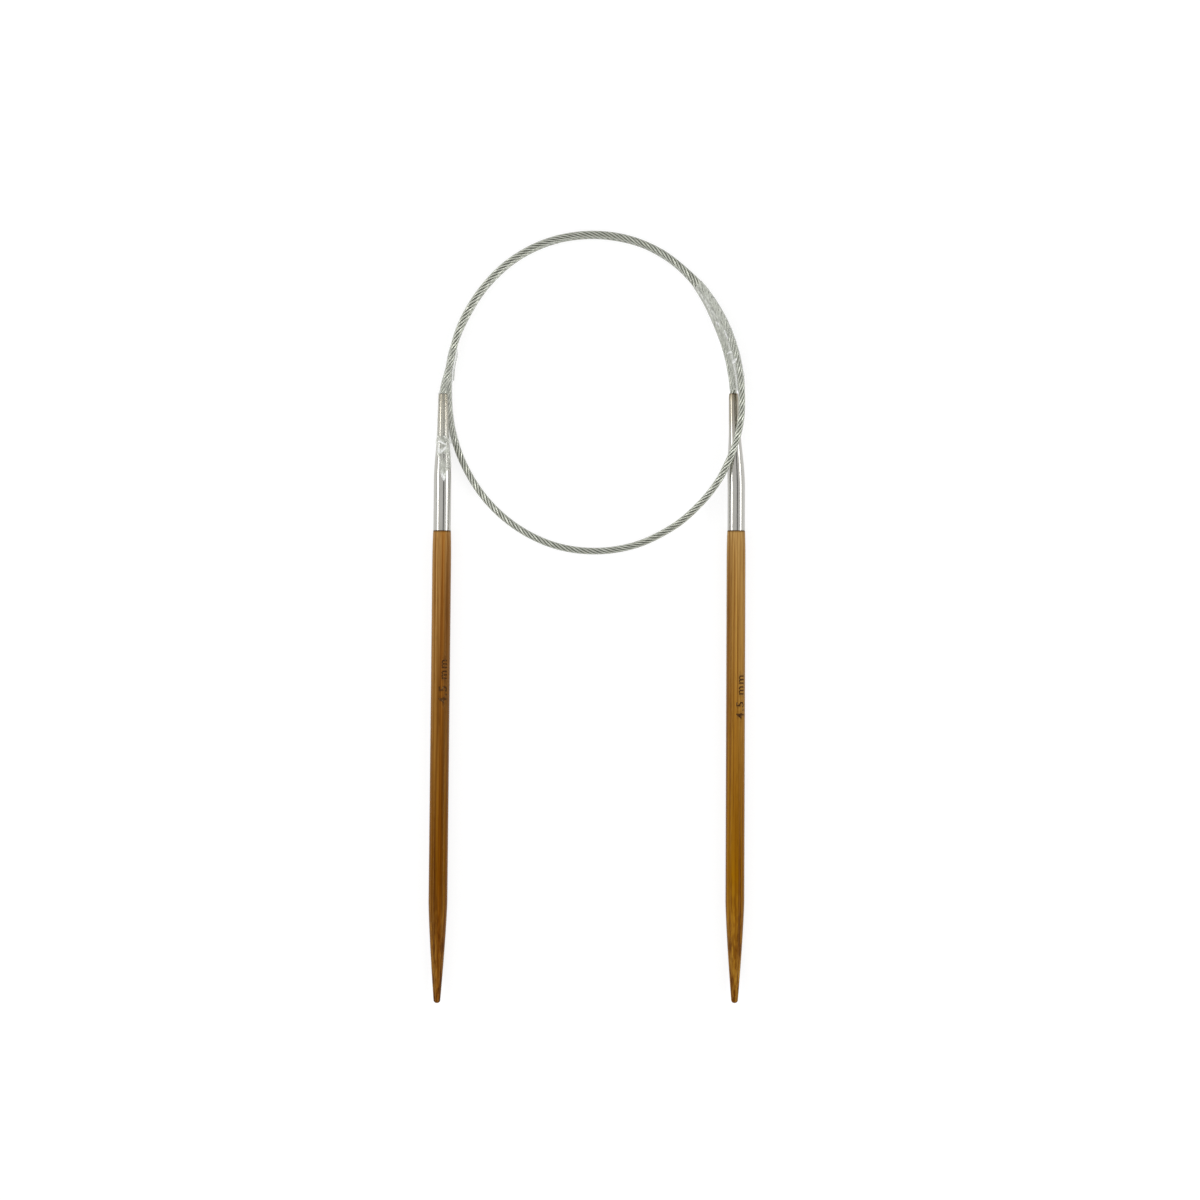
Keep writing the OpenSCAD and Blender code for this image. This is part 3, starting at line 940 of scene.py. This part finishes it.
# Each tie: the turns of the cable between which it lies, how many rows it has along it, how cloudy
# it is at these shares of its length, how much more where nothing is under it, and where it is creased,
# partly whitened film and partly painted glints, as the place of each over the table, its half length
# and half width, and the angle of its length from the X axis
TIES = {
    "left": {
        "station": left_station,
        "turns": (250, 287.5),
        "rows": 100,
        "fog": ((0.0, 0.12), (0.12, 0.12), (0.5, 0.14), (0.66, 0.16), (0.74, 0.1), (1.0, 0.08)),
        "bridge": 0.0,
        "creases_and_glints": ((-0.03195, 0.0706, 0.005, 0.00017, 94), (-0.0313, 0.0735, 0.0012, 0.00014, 92)),
    },
    "right": {
        "station": right_station,
        "turns": (89, 43),
        "rows": 120,
        "fog": (
            (0.0, 0.06), (0.2, 0.1), (0.4, 0.17), (0.52, 0.26), (0.7, 0.42), (0.9, 0.44), (1.0, 0.36),
        ),
        "bridge": 0.24,
        "creases_and_glints": (
            (0.0310, 0.0888, 0.0006, 0.00024, 120), (0.03294, 0.08617, 0.0014, 0.00018, 112),
            (0.03375, 0.08186, 0.0007, 0.00022, 25), (0.03493, 0.07987, 0.0009, 0.00036, 55),
            (0.03692, 0.07665, 0.0006, 0.00024, 100),
        ),
    },
}
# How far the film is off what it holds where it counts as loose
LOOSE = 0.00018
# How far it stays off the table
OFF_TABLE = 0.00003
WRINKLES_PER_METRE = 1100
# Cloudiness where the film is creased, partly its own whitening and partly painted glints
CREASE_FOG_AND_GLINT = 0.95
CREASE_RISE = 0.00016
# The fin of the left tie: how far it stands out, from which share of the tie on, how wide its root
# is, and its fog at its edge, in its outer half and near its root
FIN_REACH = 0.0005
FIN_START = 0.64
FIN_ROOT = 0.0002
FIN_FOG = (0.9, 0.4, 0.03)


def creased(place, creases_and_glints):
    """How much of a crease there is at this place: 1 along its middle, 0 outside it."""
    most = 0.0
    for x, y, half_length, half_width, angle in creases_and_glints:
        turn = math.radians(angle)
        dx, dy = place.x - x, place.y - y
        along = dx * math.cos(turn) + dy * math.sin(turn)
        across = dy * math.cos(turn) - dx * math.sin(turn)
        most = max(most, 1 - (along / half_length) ** 2 - (across / half_width) ** 2)
    return most


def rows_between(rows, at):
    """Reads a table of (place, value...) rows at this place, in straight lines between them."""
    for low, high in zip(rows, rows[1:]):
        if at <= high[0]:
            share = max(0.0, (at - low[0]) / (high[0] - low[0]))
            return [a + (b - a) * share for a, b in zip(low[1:], high[1:])]
    return list(rows[-1][1:])


def fin(t, away):
    """How far the left tie stands out beside the cable, where its two edges were pressed together."""
    reach = FIN_REACH * min(1.0, max(0.0, (t - FIN_START) / 0.03), 0.2 + (1 - t) / 0.06)
    return reach * max(0.0, 1 - away / FIN_ROOT)


def film_tie(side):
    """A film closed round what its stations name, with a ridge where its edges lap."""
    film = settings("film")
    tie = TIES[side]
    first, last = tie["turns"]
    bm = bmesh.new()
    bmesh.ops.create_grid(bm, x_segments=TIE_AROUND, y_segments=tie["rows"], size=0.5)
    cloud = bm.verts.layers.float.new("fog")
    rings = {}
    for vert in bm.verts:
        t = round(vert.co.y + 0.5, 6)
        a, a_radius, b, b_radius, forward = tie["station"](first + (last - first) * t)
        if t not in rings:
            outline = [
                belt(a, a_radius, b, b_radius, forward, math.radians(k), film.gap) for k in range(361)]
            rings[t] = evenly(outline, TIE_AROUND)
        ring, girth = rings[t]
        share = vert.co.x + 0.5
        place = ring[round(share * TIE_AROUND)].copy()
        middle = a.lerp(b, 0.5)
        loose = min((place - a).length - a_radius, (place - b).length - b_radius) - film.gap
        vert[cloud] = rows_between(tie["fog"], t)[0] + tie["bridge"] * min(1.0, max(0.0, loose) / LOOSE)
        wave = noise.noise(Vector((place.x, place.y * 0.5, place.z)) * WRINKLES_PER_METRE)
        lift = film.wrinkle * abs(wave)
        if 0 < share * girth < film.seam:
            lift += film.thickness
        # Painted light: where the film is creased it is whitened, partly its own whitening and partly painted
        # glints, and it stands up a little.
        mark = creased(place, tie["creases_and_glints"]) if place.z > middle.z else 0.0
        if mark > 0:
            strong = min(1.0, mark * 2.2)
            vert[cloud] += (CREASE_FOG_AND_GLINT - vert[cloud]) * strong
            lift += CREASE_RISE * strong
        out = fin(t, min(share, 1 - share) * girth) if side == "left" else 0.0
        if out > 0:
            vert[cloud] = FIN_FOG[0 if share in (0, 1) else 1 if out > FIN_REACH / 2 else 2]
        across = forward.cross(UP).normalized()
        place += (place - middle).normalized() * (lift if 0 < share < 1 else 0.0) + across * out
        place.z = max(place.z, film.thickness + OFF_TABLE)
        vert.co = place
    bmesh.ops.remove_doubles(bm, verts=bm.verts, dist=1e-7)
    bmesh.ops.recalc_face_normals(bm, faces=bm.faces)
    bmesh.ops.solidify(bm, geom=bm.faces[:], thickness=-film.thickness)
    name = side + "_film"
    mesh = from_bmesh(bm, name, math.radians(70))
    piece = shown(name, mesh, film_finish(name), side + "_tie")
    flex_zone(side)
    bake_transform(piece)


# The end of the left tie, pressed down on its ferrule: how far along the ferrule, the angles of its
# edges from the top of the neck, how far it stands up, and how cloudy it is at each edge
FILM_END = (
    (0.0117, 8, 12, 0.0003, 0.95, 0.95), (0.0130, -8, 22, 0.00016, 0.85, 0.8),
    (0.01425, -18, 28, 0.00008, 0.45, 0.4), (0.0145, -20, 78, 0.00008, 0.3, 0.3),
    (0.0167, -26, 80, 0.00012, 0.25, 0.16), (0.0187, -42, 80, 0.0004, 0.4, 0.2),
    (0.0210, -52, 75, 0.0005, 0.5, 0.28), (0.0224, -50, 30, 0.00035, 0.45, 0.4),
)
# Its bright folds, partly whitened film and partly painted glints, given as for a tie
FILM_END_FOLDS_AND_GLINTS = (
    (-0.03418, 0.0605, 0.0014, 0.00024, -28), (-0.03402, 0.0588, 0.0015, 0.00022, 49),
    (-0.03514, 0.0594, 0.0018, 0.0002, 95),
)


def film_end():
    """The crumpled end of the left tie, draped over the ferrule in flat, sharp folds."""
    film = settings("film")
    bm = bmesh.new()
    bmesh.ops.create_grid(bm, x_segments=7, y_segments=17, size=0.5)
    cloud = bm.verts.layers.float.new("fog")
    middle = needle_matrix("left")
    for vert in bm.verts:
        u, t = vert.co.x + 0.5, vert.co.y + 0.5
        reach = FILM_END[0][0] + (FILM_END[-1][0] - FILM_END[0][0]) * t
        first, last, lift, first_fog, last_fog = rows_between(FILM_END, reach)
        # Three numbers from smooth noise turn, shift and raise the point.
        spot = Vector((u * 4.3, t * 9.1, 0.7))
        chance = Vector([noise.noise(spot + UP * (31.4 * k)) for k in range(3)])
        tilt = math.radians(first + (last - first) * u) + 0.08 * chance.x
        radius = neck_radius(reach) + film.gap + film.thickness + lift * (0.4 + abs(chance.z) * 1.8)
        center = middle @ bent(Vector((0, 0, reach + 0.0003 * chance.y)))
        vert.co = center + Vector((math.sin(tilt), 0, math.cos(tilt))) * radius
        fog = first_fog + (last_fog - first_fog) * u
        vert[cloud] = min(1.0, max(0.06, fog + chance.z * 0.9 * min(1.0, lift / 0.0003)))
    bmesh.ops.subdivide_edges(bm, edges=bm.edges[:], cuts=3, use_grid_fill=True)
    for vert in bm.verts:
        # Painted light: the bright folds are whitened, partly the film's own whitening and partly painted glints.
        fold_and_glint = min(1.0, max(0.0, creased(vert.co, FILM_END_FOLDS_AND_GLINTS)) * 2)
        vert[cloud] += (1.0 - vert[cloud]) * fold_and_glint
    bmesh.ops.recalc_face_normals(bm, faces=bm.faces)
    name = "left_film_end"
    piece = shown(name, from_bmesh(bm, name, math.radians(12)), film_finish(name))
    wall = piece.modifiers.new("Wall", "SOLIDIFY")
    wall.thickness = film.thickness
    wall.offset = 1.0
    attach(piece, "left_needle")


# ---- Operators ----


# Each lamp: its name, the angles from straight up between which it stands, and its radiance
LAMPS = (
    ("overhead_left", -50, 8, 0.62), ("overhead_right", 24, 50, 0.62),
    ("strip_left", -68, -53, 4.2), ("strip_right", 53, 68, 4.2),
)


class NEEDLE_OT_studio(bpy.types.Operator):
    """Sets the table, the lamps and the camera"""

    bl_idname = "needle.studio"
    bl_label = "Table, lamps and camera"

    def execute(self, context):
        studio = settings("studio")
        low, high = [Vector(corner) for corner in cad_box]
        middle = (low + high) / 2
        middle.z = 0
        self.camera(context, studio, middle)
        self.table(studio, middle)
        self.lamps(context, studio, middle)
        return {"FINISHED"}

    def camera(self, context, studio, middle):
        """Looks straight down, far off, with the object a little below the middle of the picture."""
        camera = added("camera", bpy.data.cameras.new("camera"))
        camera.data.lens = studio.lens
        camera.data.sensor_width = studio.sensor
        away = studio.view_width * studio.lens / studio.sensor
        axis_height = settings("shaft").diameter / 2
        camera.location = (middle.x + studio.aim_x, studio.aim_y, away + axis_height)
        camera.data.clip_end = 50
        context.scene.camera = camera

    def table(self, studio, middle):
        """A round table top whose rim curves up into a backdrop."""
        profile = [(0, 0), (studio.table, 0)]
        profile += [
            (studio.table + studio.rim * math.sin(a), studio.rim * (1 - math.cos(a)))
            for a in leading(0, QUARTER, 12)]
        profile.append((studio.table + studio.rim, studio.wall))
        bm = lathe(profile, 96)
        bmesh.ops.translate(bm, verts=bm.verts, vec=middle)
        finish = Finish("table")
        seen = finish.node("ShaderNodeLightPath", out="Is Camera Ray")
        for ray in ("Is Glossy Ray", "Is Transmission Ray"):
            seen = finish.math("MAXIMUM", seen, finish.node("ShaderNodeLightPath", out=ray))
        material = finish.surface(
            Base_Color=studio.table_color, Roughness=1.0, Specular_IOR_Level=0.0,
            Emission_Color=(1, 1, 1), Emission_Strength=seen * studio.glow)
        shown("table", from_bmesh(bm, "table"), material)

    def lamps(self, context, studio, middle):
        """Two broad soft lamps overhead with a gap between them, and a bright strip on each side."""
        for name, start, end, radiance in LAMPS:
            angle = math.radians((start + end) / 2)
            half = math.radians((end - start) / 2)
            away = studio.lamp_distance
            lamp = bpy.data.lights.new(name, "AREA")
            lamp.shape = "RECTANGLE"
            lamp.size = 2 * away * math.tan(half)
            lamp.size_y = studio.lamp_length
            lamp.energy = math.pi * lamp.size * lamp.size_y * radiance
            holder = added(name, lamp)
            toward = Vector((math.sin(angle), 0, math.cos(angle)))
            holder.location = middle + toward * away
            holder.rotation_euler = (0, angle, 0)
            holder.visible_camera = False
        world = bpy.data.worlds.new("room")
        world.use_nodes = True
        room = world.node_tree.nodes["Background"].inputs
        room["Color"].default_value = (1, 1, 1, 1)
        room["Strength"].default_value = studio.air
        context.scene.world = world
        context.scene.view_settings.view_transform = "Standard"


class NEEDLE_OT_cable(bpy.types.Operator):
    """Lays the coated wire cable along its route"""

    bl_idname = "needle.cable"
    bl_label = "Coated wire cable"

    def execute(self, context):
        cable_pieces()
        return {"FINISHED"}


class NEEDLE_OT_shafts(bpy.types.Operator):
    """Turns the bamboo shafts and cuts their size into them"""

    bl_idname = "needle.shafts"
    bl_label = "Bamboo shafts"

    def execute(self, context):
        for side in SIDES:
            bm = lathe(shaft_profile(), settings("shaft").steps)
            bmesh.ops.transform(bm, matrix=needle_matrix(side), verts=bm.verts)
            name = side + "_shaft_bamboo"
            piece = shown(name, from_bmesh(bm, name), bamboo(side), side + "_shaft")
            cutter = shown(side + "_cutter", size_cutter(side), burnt(side))
            cut = piece.modifiers.new("figures", "BOOLEAN")
            cut.operation = "DIFFERENCE"
            cut.solver = "EXACT"
            cut.use_self = True
            cut.object = cutter
            cut.material_mode = "TRANSFER"
            done = bpy.data.meshes.new_from_object(piece.evaluated_get(context.evaluated_depsgraph_get()))
            if len(done.vertices) <= len(piece.data.vertices):
                raise RuntimeError("the figures didn't cut into " + name)
            piece.modifiers.clear()
            piece.data = done
            bpy.data.objects.remove(cutter)
            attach(piece, side + "_needle")
        return {"FINISHED"}


class NEEDLE_OT_ferrules(bpy.types.Operator):
    """Turns the nickel ferrules and bends their necks"""

    bl_idname = "needle.ferrules"
    bl_label = "Nickel ferrules"

    def execute(self, context):
        for side in SIDES:
            bm = lathe(ferrule_profile(), settings("ferrule").steps)
            for vert in bm.verts:
                vert.co = bent(vert.co)
            bmesh.ops.transform(bm, matrix=needle_matrix(side), verts=bm.verts)
            name = side + "_ferrule_nickel"
            piece = shown(name, from_bmesh(bm, name), nickel(side), side + "_ferrule")
            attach(piece, side + "_needle")
        return {"FINISHED"}


class NEEDLE_OT_crimps(bpy.types.Operator):
    """Finishes the crimps and the bare wire inside the ferrules"""

    bl_idname = "needle.crimps"
    bl_label = "Crimps and wire ends"

    def execute(self, context):
        cable = settings("cable")
        sleeve = drawn_steel("crimp_sleeve", cable.crimp, 0.32)
        wire = drawn_steel("bare_wire", cable.wire, 0.28)
        for side in SIDES:
            for node, material in ((side + "_crimp", sleeve), (side + "_wire_end", wire)):
                mesh = frame["nodes"][node].data
                mesh.materials.clear()
                mesh.materials.append(material)
        return {"FINISHED"}


class NEEDLE_OT_ties(bpy.types.Operator):
    """Wraps the clear film ties round the cable"""

    bl_idname = "needle.ties"
    bl_label = "Film ties"

    def execute(self, context):
        for side in SIDES:
            film_tie(side)
        film_end()
        return {"FINISHED"}


PIECES = (
    NEEDLE_OT_studio, NEEDLE_OT_cable, NEEDLE_OT_shafts, NEEDLE_OT_ferrules, NEEDLE_OT_crimps, NEEDLE_OT_ties)


class NEEDLE_PT_panel(bpy.types.Panel):
    """Lists the pieces of the needle"""

    bl_label = "Circular knitting needle"
    bl_idname = "NEEDLE_PT_panel"
    bl_space_type = "VIEW_3D"
    bl_region_type = "UI"
    bl_category = "Needle"

    def draw(self, context):
        for piece in PIECES:
            self.layout.operator(piece.bl_idname)


SETTINGS = {
    "needle_shaft": ShaftSettings,
    "needle_ferrule": FerruleSettings,
    "needle_cable": CableSettings,
    "needle_film": FilmSettings,
    "needle_studio": StudioSettings,
}


def register():
    for name, group in SETTINGS.items():
        bpy.utils.register_class(group)
        setattr(bpy.types.Scene, name, PointerProperty(type=group))
    for piece in (*PIECES, NEEDLE_PT_panel):
        bpy.utils.register_class(piece)


def unregister():
    for piece in (NEEDLE_PT_panel, *reversed(PIECES)):
        bpy.utils.unregister_class(piece)
    for name, group in reversed(SETTINGS.items()):
        delattr(bpy.types.Scene, name)
        bpy.utils.unregister_class(group)


def main():
    """Registers the add-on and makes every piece."""
    register()
    bpy.ops.needle.studio()
    bpy.ops.needle.cable()
    bpy.ops.needle.shafts()
    bpy.ops.needle.ferrules()
    bpy.ops.needle.crimps()
    bpy.ops.needle.ties()


if __name__ == "__main__":
    main()
